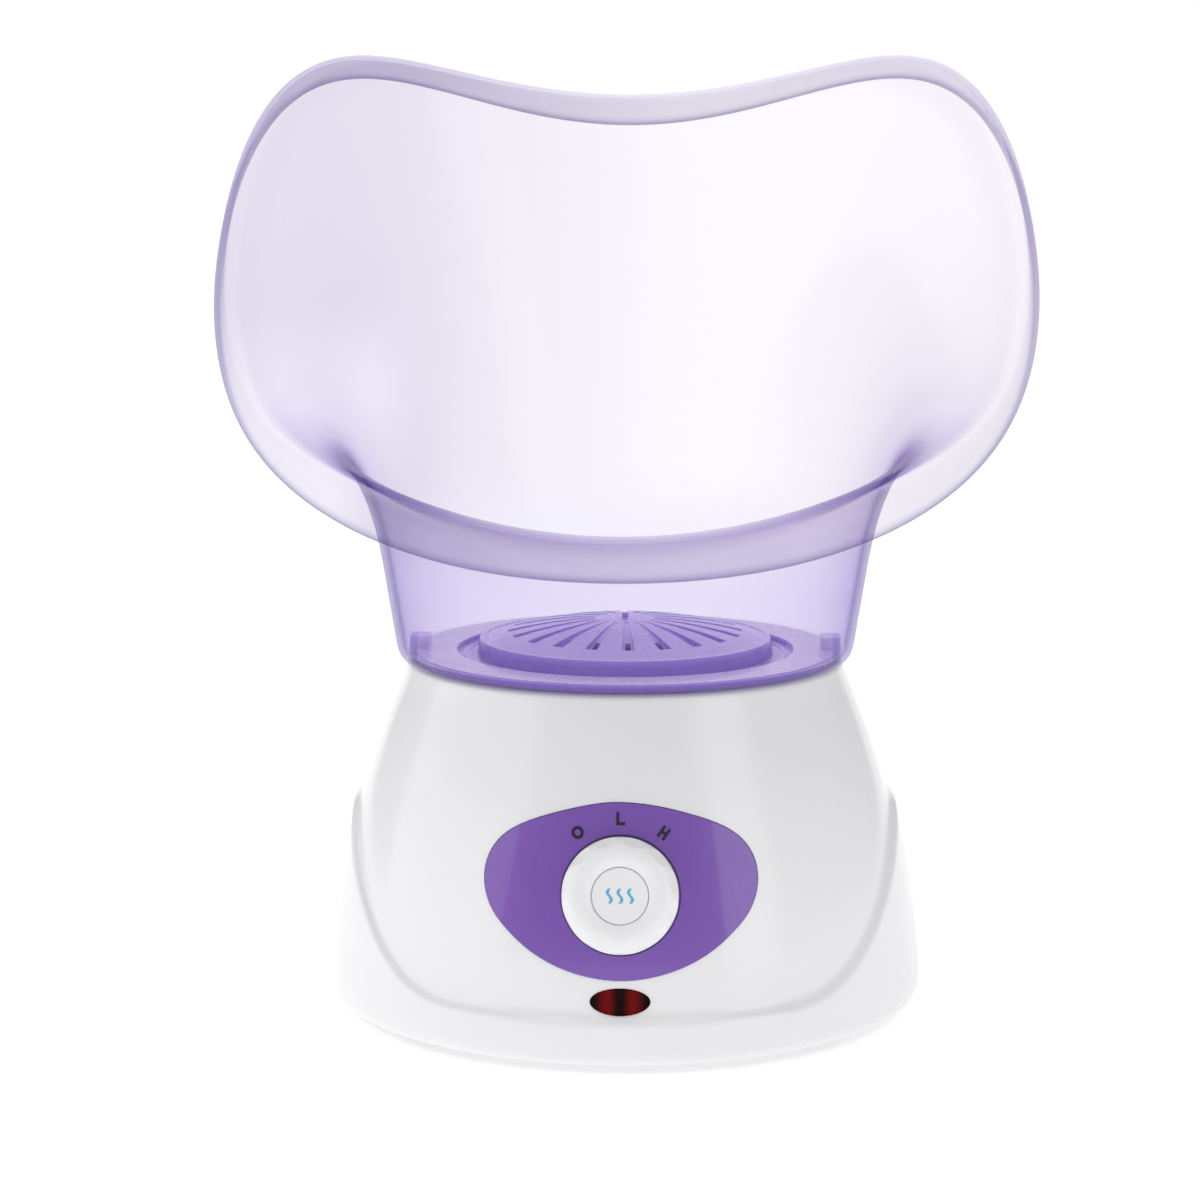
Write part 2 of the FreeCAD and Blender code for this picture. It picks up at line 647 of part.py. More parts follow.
FUSE_Y = 22.0
FUSE_R = 2.0
FUSE_Z = CLAMP_BOTTOM_Z - FUSE_R


def thermal_fuse():
    return Part.makeCylinder(FUSE_R, 12, V(-6, FUSE_Y, FUSE_Z), V(1, 0, 0))


def fuse_clip():
    """Sprung strap that holds the fuse up against the clamp plate."""
    strap = Part.makeCylinder(FUSE_R + 0.7, 5, V(-2.5, FUSE_Y, FUSE_Z), V(1, 0, 0))
    strap = strap.common(box((-5, FUSE_Y - 5, FUSE_Z - 5), (5, FUSE_Y + 5, FUSE_Z)))
    strap = strap.fuse(box((-2.5, FUSE_Y - 2.7, FUSE_Z), (2.5, FUSE_Y + 2.7, CLAMP_BOTTOM_Z)))
    strap = strap.fuse(box((-2.5, FUSE_Y - 7, CLAMP_BOTTOM_Z - 0.7),
                           (2.5, FUSE_Y - 2.0, CLAMP_BOTTOM_Z)))
    strap = strap.cut(Part.makeCylinder(FUSE_R, 12, V(-6, FUSE_Y, FUSE_Z), V(1, 0, 0)))
    return strap.cut(box((-5, FUSE_Y - FUSE_R, FUSE_Z), (5, FUSE_Y + FUSE_R, CLAMP_BOTTOM_Z + 1)))


# ---------------------------------------------------------------- wiring

TERMINAL_X = 9.0
TERMINAL_Y = 50.0


def terminal_block():
    block = box((-15, TERMINAL_Y - 7, COVER_TOP_Z), (15, TERMINAL_Y + 7, COVER_TOP_Z + 12))
    wells = []
    for x in (-TERMINAL_X, 0, TERMINAL_X):
        for y in (TERMINAL_Y - 3.5, TERMINAL_Y + 3.5):
            wells.append(cylinder(2.0, COVER_TOP_Z + 6, COVER_TOP_Z + 20, x, y))
    return block.cut(wells)


def terminal_screws():
    screws = []
    for x in (-TERMINAL_X, 0, TERMINAL_X):
        for y in (TERMINAL_Y - 3.5, TERMINAL_Y + 3.5):
            body = cylinder(1.8, COVER_TOP_Z + 6.2, COVER_TOP_Z + 10, x, y)
            slot = box((x - 2, y - 0.3, COVER_TOP_Z + 9), (x + 2, y + 0.3, COVER_TOP_Z + 11))
            screws.append(body.cut(slot))
    return Part.makeCompound(screws)


def wire(points, radius=1.1):
    """Insulated wire along straight runs joined by arcs."""
    corners = [V(*p) for p in points]
    edges = []
    start = corners[0]
    for before, corner, after in zip(corners, corners[1:], corners[2:]):
        into = corner.sub(before)
        out = after.sub(corner)
        half_turn = into.getAngle(out) / 2
        reach = 0.45 * min(into.Length, out.Length)
        into.normalize()
        out.normalize()
        enter = corner.sub(into * reach)
        leave = corner.add(out * reach)
        inward = out.sub(into)
        inward.normalize()
        bend = reach / math.tan(half_turn)
        centre = corner.add(inward * (bend / math.cos(half_turn)))
        middle = centre.sub(inward * bend)
        edges.append(Part.makeLine(start, enter))
        edges.append(Part.Arc(enter, middle, leave).toShape())
        start = leave
    edges.append(Part.makeLine(start, corners[-1]))
    first = corners[1].sub(corners[0])
    profile = Part.Wire(Part.makeCircle(radius, corners[0], first))
    return Part.Wire(edges).makePipeShell([profile], True, True)


def wires():
    """Every inner wire by node name."""
    block_front = TERMINAL_Y - 7.2
    block_z = COVER_TOP_Z + 4
    switch_back = on_knob_axis(-28.2, 0, -4)
    blade_bottom = CLAMP_BOTTOM_Z - 0.8 - 19.7
    heater_tab_z = MICA_TOP_Z + 1.3
    tab_end = HEATER_R + 4
    return {
        "live_wire": wire([(-9, block_front, block_z), (-9, 26, block_z), (-28, -8, 11),
                           (-20, -36, 16), (-7, switch_back.y + 1.2, switch_back.z)]),
        "switch_wire": wire([(7, switch_back.y + 1.2, switch_back.z), (9, -28, 22),
                             (5, -8, 22), (4, 0, blade_bottom)]),
        "fuse_wire": wire([(-4, 0, blade_bottom), (-6, 6, 24), (-16, 20, 30),
                           (-16, FUSE_Y, FUSE_Z - 4), (-7.0, FUSE_Y, FUSE_Z)]),
        "heater_wire": wire([(7.0, FUSE_Y, FUSE_Z), (16, 26, FUSE_Z - 4), (14, 40, FUSE_Z + 1),
                             (6, 42, heater_tab_z), (1, tab_end, heater_tab_z)]),
        "neutral_wire": wire([(9, block_front, block_z), (9, 28, block_z), (46, 4, 18),
                              (42, -28, 44), (16, -45, heater_tab_z),
                              (0, -tab_end - 1.6, heater_tab_z)]),
        "lamp_leads": Part.makeCompound([
            wire([(-3 * side, block_front, block_z + 4 * (side > 0) - 1),
                  (-3 * side, 20, 10 + 2 * side), (12 + 5 * side, -10, 12),
                  (2.5 * side + 2, -40, 14), (1.6 * side, 12.7 - LENS_BACK, LENS_Z)], 0.8)
            for side in (-1, 1)]),
    }


# ---------------------------------------------------------------- steam plate and mask

PLATE_BOTTOM_Z = DECK_Z + PLATE_GAP
PLATE_TOP_Z = PLATE_BOTTOM_Z + PLATE_FLANGE


def steam_plate():
    """Fluted dome inside a groove, with the keys that stop the mask from turning."""
    edge_z = PLATE_TOP_Z + DOME_EDGE_RISE
    groove_z = PLATE_TOP_Z - GROOVE_DEPTH
    ball_r = (DOME_R ** 2 + DOME_RISE ** 2) / (2 * DOME_RISE)
    ball_z = edge_z + DOME_RISE - ball_r
    flange = revolve([(PLATE_R, PLATE_BOTTOM_Z), (PLATE_R, PLATE_TOP_Z), (GROOVE_R, PLATE_TOP_Z),
                      (GROOVE_R - 0.2, groove_z), (DOME_R + 1.4, groove_z),
                      (DOME_R + 0.7, edge_z + 0.4), (DOME_R - 0.2, edge_z + 0.5),
                      (DOME_R - 0.9, edge_z + 0.1), (DOME_R - 0.9, PLATE_BOTTOM_Z)])
    skirt = tube(PLATE_SKIRT_R, PLATE_SKIRT_R - 1.4, PLATE_BOTTOM_Z - PLATE_SKIRT_DROP,
                 PLATE_BOTTOM_Z + 1)
    dome = Part.makeSphere(ball_r, V(0, 0, ball_z))
    dome = dome.cut(Part.makeSphere(ball_r - DOME_WALL, V(0, 0, ball_z)))
    dome = dome.common(cylinder(DOME_R - 0.5, PLATE_BOTTOM_Z, PLATE_BOTTOM_Z + 40))
    key = box((KEY_INNER_R, -KEY_WIDTH / 2, PLATE_BOTTOM_Z),
              (KEY_R, KEY_WIDTH / 2, PLATE_TOP_Z + KEY_RISE))
    pin = cylinder(PIN_R, ball_z + ball_r - 1, ball_z + ball_r + PIN_RISE)
    corners = [(FLUTE_INNER_R, -FLUTE_INNER_HALF), (FLUTE_OUTER_R, -FLUTE_OUTER_HALF),
               (FLUTE_OUTER_R, FLUTE_OUTER_HALF), (FLUTE_INNER_R, FLUTE_INNER_HALF)]
    flute = Part.makePolygon([V(x, y, 0) for x, y in corners + corners[:1]])
    flute = Part.Face(flute).extrude(V(0, 0, 130))
    floor = Part.makeSphere(FLUTE_FLOOR_R, V(0, 0, ball_z + ball_r - FLUTE_FLOOR_R))
    hole = box((HOLE_START_R, -HOLE_WIDTH / 2, 0), (FLUTE_OUTER_R - 1, HOLE_WIDTH / 2, 130))
    turn = FLUTE_TURN_DEG - 90
    cuts = around(flute.cut(floor), FLUTE_COUNT, turn) + around(hole, FLUTE_COUNT, turn)
    return flange.fuse([skirt, dome, pin] + around(key, 2)).cut(cuts)


def mask_net():
    """Poles of the mask's mid-surface, ring by ring."""
    spread = pole_spread(MASK_POLES_ROUND)
    rings = []
    for half_width, half_depth, flare, heights in MASK_RINGS:
        ring = []
        for i in range(MASK_POLES_ROUND):
            angle = 2 * math.pi * i / MASK_POLES_ROUND
            x = half_width * spread * math.sin(angle) * (1 - flare * math.cos(angle))
            y = -half_depth * spread * math.cos(angle)
            ring.append(V(x, y, cosine_curve(heights, angle)))
        rings.append(ring)
    return rings


def offset_net(rings, distance):
    """Push every pole of a net along the net's own normal, outward if positive."""
    moved = []
    for j, ring in enumerate(rings):
        below = rings[max(j - 1, 0)]
        above = rings[min(j + 1, len(rings) - 1)]
        row = []
        for i, pole in enumerate(ring):
            round_way = ring[(i + 1) % len(ring)].sub(ring[i - 1])
            normal = round_way.cross(above[i].sub(below[i]))
            normal.normalize()
            row.append(pole.add(normal * distance))
        moved.append(row)
    return moved


def face_mask():
    """One clear moulding: keyed floor ring, round neck and rolled bean-shaped hood."""
    middle = mask_net()
    outer = offset_net(middle, MASK_WALL / 2)
    inner = offset_net(middle, -MASK_WALL / 2)
    solid = sewn_solid([spline_surface(outer, 3), spline_surface(inner, 3),
                        spline_surface([outer[0], inner[0]], 1),
                        spline_surface([outer[-1], inner[-1]], 1)])
    notch = box((50, -KEY_WIDTH / 2 - 0.3, 80), (KEY_R + 0.3, KEY_WIDTH / 2 + 0.3, 100))
    return solid.cut(around(notch, 2))


def main():
    os.makedirs("parts", exist_ok=True)
    bell = bell_solid()
    save(housing(bell), "housing")
    save(bottom_cover(), "bottom_cover")
    save(rubber_feet(), "rubber_feet")
    save(base_screws(), "base_screws")
    save(cord_grommet(), "cord_grommet")
    save(control_panel(), "control_panel")
    save(dial_marks(), "dial_marks")
    save(control_knob(), "control_knob")
    save(knob_cap(), "knob_cap")
    save(cap_symbol(), "cap_symbol")
    save(switch_shaft(), "switch_shaft")
    save(rotary_switch(), "rotary_switch")
    save(switch_terminals(), "switch_terminals")
    save(switch_nut(), "switch_nut")
    save(indicator_lens(bell_solid(0.4)), "indicator_lens")
    save(lamp_holder(), "lamp_holder")
    save(neon_lamp(), "neon_lamp")
    save(water_bowl(), "water_bowl")
    save(bowl_seal(), "bowl_seal")
    save(bowl_screws(), "bowl_screws")
    save(heater_plate(), "heater_plate")
    save(mica_sheet(), "mica_sheet")
    save(heater_clamp(), "heater_clamp")
    save(clamp_screws(), "clamp_screws")
    save(thermostat(), "thermostat")
    save(thermostat_screws(), "thermostat_screws")
    save(thermal_fuse(), "thermal_fuse")
    save(fuse_clip(), "fuse_clip")
    save(terminal_block(), "terminal_block")
    save(terminal_screws(), "terminal_screws")
    for node, shape in wires().items():
        save(shape, node)
    save(steam_plate(), "steam_plate")
    save(face_mask(), "face_mask")


main()
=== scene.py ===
"""Looks for the facial steamer: materials, the clear mask, small print, lights and camera.

Metres, in the CAD model's frame: X right, Y away from the dial, Z up.
"""
import bpy
import bmesh
import json
import math
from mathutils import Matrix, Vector


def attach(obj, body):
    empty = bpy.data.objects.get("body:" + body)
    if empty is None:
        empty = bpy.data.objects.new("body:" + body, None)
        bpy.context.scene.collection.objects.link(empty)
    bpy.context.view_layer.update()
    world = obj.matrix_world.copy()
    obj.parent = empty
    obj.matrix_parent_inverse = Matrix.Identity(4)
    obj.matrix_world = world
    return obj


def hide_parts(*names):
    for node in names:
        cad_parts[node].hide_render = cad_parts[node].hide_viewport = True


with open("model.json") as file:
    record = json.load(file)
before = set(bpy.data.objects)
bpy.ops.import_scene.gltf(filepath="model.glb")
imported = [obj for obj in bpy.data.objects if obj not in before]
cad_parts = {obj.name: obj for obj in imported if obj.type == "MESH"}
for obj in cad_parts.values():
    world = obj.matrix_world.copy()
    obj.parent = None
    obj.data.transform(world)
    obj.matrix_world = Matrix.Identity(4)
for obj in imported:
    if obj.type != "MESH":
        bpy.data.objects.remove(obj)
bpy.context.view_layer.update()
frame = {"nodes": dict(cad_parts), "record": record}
NODES = frame["nodes"]
MM = 0.001

# ---------------------------------------------------------------- camera and stage

CAMERA_PLACE = Vector((0.012, -0.800, 0.2327))
CAMERA_PITCH_DEG = 8.7
CAMERA_YAW_DEG = 1.345
CAMERA_LENS_MM = 90.3
SENSOR_MM = 36.0

STAGE_HALF_WIDTH = 0.62
STAGE_FRONT = -1.2
STAGE_BACK = 0.75
STAGE_BEND = 0.45
STAGE_TOP = 1.8
STAGE_GLOW = 0.38
WORLD_STRENGTH = 0.50
# Area lights: name, place, target, width, height, watts
LIGHTS = [
    ("left_box", (-1.0, -0.20, 0.45), (0, 0, 0.12), 1.4, 1.0, 3.7),
    ("right_strip", (0.72, -0.60, 0.45), (0, 0, 0.12), 0.42, 1.0, 1.5),
    ("top_box", (0, 0.0, 1.05), (0, 0, 0.1), 0.9, 0.9, 3.0),
]


def make_camera():
    data = bpy.data.cameras.new("camera")
    data.sensor_width = SENSOR_MM
    data.lens = CAMERA_LENS_MM
    data.dof.use_dof = False
    camera = bpy.data.objects.new("camera", data)
    camera.location = CAMERA_PLACE
    camera.rotation_euler = (math.radians(90 - CAMERA_PITCH_DEG), 0, math.radians(CAMERA_YAW_DEG))
    bpy.context.scene.collection.objects.link(camera)
    bpy.context.scene.camera = camera


def make_light(name, place, target, width, height, power):
    """Soft box that lights the piece but isn't seen through the clear mask."""
    data = bpy.data.lights.new(name, "AREA")
    data.shape = "RECTANGLE"
    data.size = width
    data.size_y = height
    data.energy = power
    light = bpy.data.objects.new(name, data)
    light.visible_transmission = False
    light.location = place
    light.rotation_euler = (Vector(target) - Vector(place)).to_track_quat("-Z", "Y").to_euler()
    bpy.context.scene.collection.objects.link(light)


def make_world(strength):
    world = bpy.data.worlds.new("studio")
    world.use_nodes = True
    background = world.node_tree.nodes["Background"]
    background.inputs["Color"].default_value = (1.0, 1.0, 1.0, 1.0)
    background.inputs["Strength"].default_value = strength
    bpy.context.scene.world = world


def make_stage():
    """Pale floor that curves up into a backdrop."""
    profile = [(STAGE_FRONT, 0.0), (STAGE_BACK, 0.0)]
    steps = 16
    for i in range(1, steps + 1):
        angle = math.pi / 2 * i / steps
        back = STAGE_BACK + STAGE_BEND * math.sin(angle)
        profile.append((back, STAGE_BEND * (1 - math.cos(angle))))
    profile.append((STAGE_BACK + STAGE_BEND, STAGE_TOP))
    mesh = bpy.data.meshes.new("stage")
    points = []
    for y, z in profile:
        points += [(-STAGE_HALF_WIDTH, y, z), (STAGE_HALF_WIDTH, y, z)]
    faces = [(2 * i, 2 * i + 1, 2 * i + 3, 2 * i + 2) for i in range(len(profile) - 1)]
    mesh.from_pydata(points, [], faces)
    mesh.shade_smooth()
    stage = bpy.data.objects.new("stage", mesh)
    bpy.context.scene.collection.objects.link(stage)
    material, shader = new_material("stage_paper")
    shader.inputs["Base Color"].default_value = (0.88, 0.88, 0.885, 1)
    shader.inputs["Roughness"].default_value = 0.75
    shader.inputs["Emission Color"].default_value = (1, 1, 1, 1)
    shader.inputs["Emission Strength"].default_value = STAGE_GLOW
    mesh.materials.append(material)


# ---------------------------------------------------------------- material helpers

PLATE_RADIUS = 56.2 * MM
# The colour of the painted shade in the groove, in the flutes and at the rim's edge
PLATE_SHADE = (0.39, 0.235, 0.82)
PLATE_DOME = (0.38, 0.24, 0.77)
PLATE_FLAT = (0.66, 0.52, 0.97)
# Colours by share of the plate's radius, with painted shade in the groove and at the rim's edge
PLATE_RINGS = [(0.35, PLATE_DOME), (0.66, (0.50, 0.36, 0.89)), (0.79, PLATE_SHADE),
               (0.806, PLATE_FLAT), (0.99, PLATE_FLAT)]
PLATE_BALL_R = 132.2 * MM           # the ball that the dome's skin lies on
PLATE_BALL_Z = -29.15 * MM
# The flutes are painted with shade: the plate's colour gives way to the painted shade colour
# between these two depths
PLATE_SKIN = 0.1 * MM               # the skin's own colour shows down to this depth
FLUTE_DEPTH = 1.1 * MM
LENS_HALF_WIDTH = 7.4 * MM
LENS_MIDDLE = (0.010, 0.001, 0.001)
LENS_END = (0.006, 0.001, 0.001)
# Colours by share of the lens's half width
LENS_BANDS = [(0.12, (0.012, 0.001, 0.001)), (0.40, (0.17, 0.003, 0.003)),
              (0.58, (0.12, 0.002, 0.002)), (0.84, LENS_END)]

# The mask's tints by place, and where along X and Z one gives way to the next: painted shade
# darkens the left, painted light clears the right and the lobe.
HOOD_LEFT_SHADED = (0.82, 0.805, 0.85)
HOOD_RIGHT_LIT = (1.0, 1.0, 0.97)
NECK_LEFT_SHADED = (0.90, 0.89, 0.955)
NECK_RIGHT_LIT = (0.93, 0.92, 0.97)
SHADE_ACROSS = (-0.085, 0.035)
LIT_LOBE = (-0.074, -0.056)
LIT_LOBE_TOP = (0.155, 0.190)
TINT_NECK_TOP = (0.112, 0.140)


def new_material(name):
    material = bpy.data.materials.new(name)
    material.use_nodes = True
    return material, material.node_tree.nodes["Principled BSDF"]


def add_node(material, kind, **settings):
    node = material.node_tree.nodes.new(kind)
    for key, value in settings.items():
        setattr(node, key, value)
    return node


def link(material, source, target):
    material.node_tree.links.new(source, target)


def object_noise(material, scale, detail=3.0, roughness=0.5):
    """Noise fixed to the object, scale in cells per metre."""
    place = add_node(material, "ShaderNodeTexCoord")
    noise = add_node(material, "ShaderNodeTexNoise")
    noise.inputs["Scale"].default_value = scale
    noise.inputs["Detail"].default_value = detail
    noise.inputs["Roughness"].default_value = roughness
    link(material, place.outputs["Object"], noise.inputs["Vector"])
    return noise.outputs["Fac"]


def spread(material, factor, low, high):
    """Map a 0 to 1 factor onto a range of numbers."""
    node = add_node(material, "ShaderNodeMapRange")
    node.inputs["From Min"].default_value = 0.3
    node.inputs["From Max"].default_value = 0.7
    node.inputs["To Min"].default_value = low
    node.inputs["To Max"].default_value = high
    link(material, factor, node.inputs["Value"])
    return node.outputs["Result"]


def blend_colours(material, factor, dark, light):
    node = add_node(material, "ShaderNodeMix", data_type="RGBA")
    node.inputs["A"].default_value = (*dark, 1)
    node.inputs["B"].default_value = (*light, 1)
    link(material, factor, node.inputs["Factor"])
    return node.outputs["Result"]


def add_bump(material, shader, height, strength, distance):
    bump = add_node(material, "ShaderNodeBump")
    bump.inputs["Strength"].default_value = strength
    bump.inputs["Distance"].default_value = distance
    link(material, height, bump.inputs["Height"])
    link(material, bump.outputs["Normal"], shader.inputs["Normal"])


def moulded_plastic(name, colour, roughness, coat=0.0, grain=900.0, grain_height=0.00002,
                    subsurface=0.0, mottle=0.04):
    """Moulded plastic: faint mottling, uneven gloss and a fine mould texture."""
    material, shader = new_material(name)
    cloud = object_noise(material, 45.0)
    darker = tuple(c * (1 - mottle) for c in colour)
    link(material, blend_colours(material, cloud, darker, colour), shader.inputs["Base Color"])
    patch = object_noise(material, 120.0, 4.0)
    link(material, spread(material, patch, roughness * 0.85, roughness * 1.2),
         shader.inputs["Roughness"])
    add_bump(material, shader, object_noise(material, grain, 2.0), 0.25, grain_height)
    shader.inputs["Coat Weight"].default_value = coat
    shader.inputs["Coat Roughness"].default_value = 0.06
    if subsurface:
        shader.inputs["Subsurface Weight"].default_value = subsurface
        shader.inputs["Subsurface Radius"].default_value = (0.004, 0.004, 0.004)
        shader.inputs["Subsurface Scale"].default_value = 1.0
    return material


def metal(name, colour, roughness, brushed=False):
    """Metal with drawn or turned scratches."""
    material, shader = new_material(name)
    shader.inputs["Metallic"].default_value = 1.0
    place = add_node(material, "ShaderNodeTexCoord")
    stretch = add_node(material, "ShaderNodeMapping")
    stretch.inputs["Scale"].default_value = (1, 1, 40) if brushed else (1, 1, 1)
    noise = add_node(material, "ShaderNodeTexNoise")
    noise.inputs["Scale"].default_value = 300.0
    noise.inputs["Detail"].default_value = 5.0
    link(material, place.outputs["Object"], stretch.inputs["Vector"])
    link(material, stretch.outputs["Vector"], noise.inputs["Vector"])
    darker = tuple(c * 0.86 for c in colour)
    link(material, blend_colours(material, noise.outputs["Fac"], darker, colour),
         shader.inputs["Base Color"])
    link(material, spread(material, noise.outputs["Fac"], roughness * 0.75, roughness * 1.25),
         shader.inputs["Roughness"])
    add_bump(material, shader, noise.outputs["Fac"], 0.2, 0.00003)
    return material


def along_axis(material, axis, low, high):
    """Smooth 0 to 1 between two places along one of the object's axes."""
    place = add_node(material, "ShaderNodeTexCoord")
    axes = add_node(material, "ShaderNodeSeparateXYZ")
    link(material, place.outputs["Object"], axes.inputs["Vector"])
    share = add_node(material, "ShaderNodeMapRange", interpolation_type="SMOOTHSTEP")
    share.inputs["From Min"].default_value = low
    share.inputs["From Max"].default_value = high
    link(material, axes.outputs[axis], share.inputs["Value"])
    return share.outputs["Result"]


def mix_results(material, factor, first, second):
    node = add_node(material, "ShaderNodeMix", data_type="RGBA")
    link(material, factor, node.inputs["Factor"])
    link(material, first, node.inputs["A"])
    link(material, second, node.inputs["B"])
    return node.outputs["Result"]


def clear_plastic(name, colour, edge, roughness, ior, absorb, density, coat=0.0):
    """Clear tinted moulding: the tint deepens with the length of plastic looked through.

    It is deepest along a rim, where a piece has one, and where the skin turns away.  The
    colour is a colour or a function that makes a colour socket.
    """
    material, shader = new_material(name)
    shader.inputs["Transmission Weight"].default_value = 1.0
    shader.inputs["IOR"].default_value = ior
    shader.inputs["Coat Weight"].default_value = coat
    shader.inputs["Coat Roughness"].default_value = 0.14
    turned = add_node(material, "ShaderNodeLayerWeight")
    turned.inputs["Blend"].default_value = 0.5
    deepen = add_node(material, "ShaderNodeMapRange", interpolation_type="SMOOTHSTEP")
    deepen.inputs["From Min"].default_value = 0.78
    link(material, turned.outputs["Facing"], deepen.inputs["Value"])
    rim = add_node(material, "ShaderNodeAttribute", attribute_name="rim")
    deepest = add_node(material, "ShaderNodeMath", operation="MAXIMUM")
    link(material, deepen.outputs["Result"], deepest.inputs[0])
    link(material, rim.outputs["Fac"], deepest.inputs[1])
    tint = add_node(material, "ShaderNodeMix", data_type="RGBA")
    tint.inputs["B"].default_value = (*edge, 1)
    link(material, deepest.outputs["Value"], tint.inputs["Factor"])
    if callable(colour):
        link(material, colour(material), tint.inputs["A"])
    else:
        tint.inputs["A"].default_value = (*colour, 1)
    link(material, tint.outputs["Result"], shader.inputs["Base Color"])
    patch = object_noise(material, 60.0)
    link(material, spread(material, patch, roughness * 0.6, roughness * 1.5),
         shader.inputs["Roughness"])
    add_bump(material, shader, object_noise(material, 55.0, 1.0), 0.12, 0.0002)
    volume = add_node(material, "ShaderNodeVolumeAbsorption")
    volume.inputs["Color"].default_value = (*absorb, 1)
    volume.inputs["Density"].default_value = density
    output = material.node_tree.nodes["Material Output"]
    link(material, volume.outputs["Volume"], output.inputs["Volume"])
    return material


def clear_colour(material):
    colour = add_node(material, "ShaderNodeRGB")
    colour.outputs["Color"].default_value = (1, 1, 1, 1)
    return colour.outputs["Color"]


def mask_tint_and_shade(material):
    """Lavender, deeper at the neck; painted shade darkens the left of hood and neck, and painted
    light leaves the hood's right nearly clear.

    The lobe of the rim at the left of the neck is painted nearly clear as well, as lit.
    """
    # painted shade on the left and painted light on the right, along X
    shade_across = along_axis(material, "X", *SHADE_ACROSS)
    hood = blend_colours(material, shade_across, HOOD_LEFT_SHADED, HOOD_RIGHT_LIT)
    # the lobe at the left of the neck is painted clear, as lit, without the painted shade
    lobe = along_axis(material, "X", *LIT_LOBE)
    low_hood = mix_results(material, lobe, clear_colour(material), hood)
    hood = mix_results(material, along_axis(material, "Z", *LIT_LOBE_TOP), low_hood, hood)
    up = along_axis(material, "Z", *TINT_NECK_TOP)
    neck = blend_colours(material, shade_across, NECK_LEFT_SHADED, NECK_RIGHT_LIT)
    return mix_results(material, up, neck, hood)


def plate_plastic(name):
    """Purple moulding, with painted shade in the groove, in the flutes and on the rim's edge."""
    material, shader = new_material(name)
    place = add_node(material, "ShaderNodeTexCoord")
    flat = add_node(material, "ShaderNodeVectorMath", operation="MULTIPLY")
    flat.inputs[1].default_value = (1, 1, 0)
    link(material, place.outputs["Object"], flat.inputs[0])
    radius = add_node(material, "ShaderNodeVectorMath", operation="LENGTH")
    link(material, flat.outputs["Vector"], radius.inputs[0])
    reach = add_node(material, "ShaderNodeMapRange")
    reach.inputs["From Max"].default_value = PLATE_RADIUS
    link(material, radius.outputs["Value"], reach.inputs["Value"])
    rings = add_node(material, "ShaderNodeValToRGB")
    rings.color_ramp.elements[0].color = (*PLATE_DOME, 1)
    rings.color_ramp.elements[1].color = (*PLATE_SHADE, 1)
    for position, colour in PLATE_RINGS:
        rings.color_ramp.elements.new(position).color = (*colour, 1)
    link(material, reach.outputs["Result"], rings.inputs["Fac"])
    # painted shade deep in the flutes, by depth below the dome's ball
    from_ball = add_node(material, "ShaderNodeVectorMath", operation="DISTANCE")
    from_ball.inputs[1].default_value = (0, 0, PLATE_BALL_Z)
    link(material, place.outputs["Object"], from_ball.inputs[0])
    skin = add_node(material, "ShaderNodeMapRange")
    skin.inputs["From Min"].default_value = PLATE_BALL_R - FLUTE_DEPTH
    skin.inputs["From Max"].default_value = PLATE_BALL_R - PLATE_SKIN
    link(material, from_ball.outputs["Value"], skin.inputs["Value"])
    flute_shaded = add_node(material, "ShaderNodeMix", data_type="RGBA")
    flute_shaded.inputs["A"].default_value = (*PLATE_SHADE, 1)
    link(material, skin.outputs["Result"], flute_shaded.inputs["Factor"])
    link(material, rings.outputs["Color"], flute_shaded.inputs["B"])
    link(material, flute_shaded.outputs["Result"], shader.inputs["Base Color"])
    patch = object_noise(material, 120.0, 4.0)
    link(material, spread(material, patch, 0.24, 0.32), shader.inputs["Roughness"])
    add_bump(material, shader, object_noise(material, 900.0, 2.0), 0.2, 0.00002)
    shader.inputs["Coat Weight"].default_value = 0.3
    shader.inputs["Coat Roughness"].default_value = 0.08
    shader.inputs["Subsurface Weight"].default_value = 0.5
    shader.inputs["Subsurface Radius"].default_value = (0.004, 0.004, 0.006)
    shader.inputs["Subsurface Scale"].default_value = 1.0
    return material


def lamp_window(name):
    """Dark red window: red to both sides of the lamp, nearly black over it and at the ends."""
    material, shader = new_material(name)
    place = add_node(material, "ShaderNodeTexCoord")
    axes = add_node(material, "ShaderNodeSeparateXYZ")
    link(material, place.outputs["Object"], axes.inputs["Vector"])
    aside = add_node(material, "ShaderNodeMath", operation="ABSOLUTE")
    link(material, axes.outputs["X"], aside.inputs[0])
    reach = add_node(material, "ShaderNodeMapRange")
    reach.inputs["From Max"].default_value = LENS_HALF_WIDTH
    link(material, aside.outputs["Value"], reach.inputs["Value"])
    bands = add_node(material, "ShaderNodeValToRGB")
    ramp = bands.color_ramp
    ramp.elements[0].color = (*LENS_MIDDLE, 1)
    ramp.elements[1].color = (*LENS_END, 1)
    for position, colour in LENS_BANDS:
        ramp.elements.new(position).color = (*colour, 1)
    link(material, reach.outputs["Result"], bands.inputs["Fac"])
    link(material, bands.outputs["Color"], shader.inputs["Base Color"])
    link(material, spread(material, object_noise(material, 400.0), 0.10, 0.18),
         shader.inputs["Roughness"])
    add_bump(material, shader, object_noise(material, 700.0, 1.0), 0.15, 0.00003)
    shader.inputs["Specular IOR Level"].default_value = 0.06
    return material


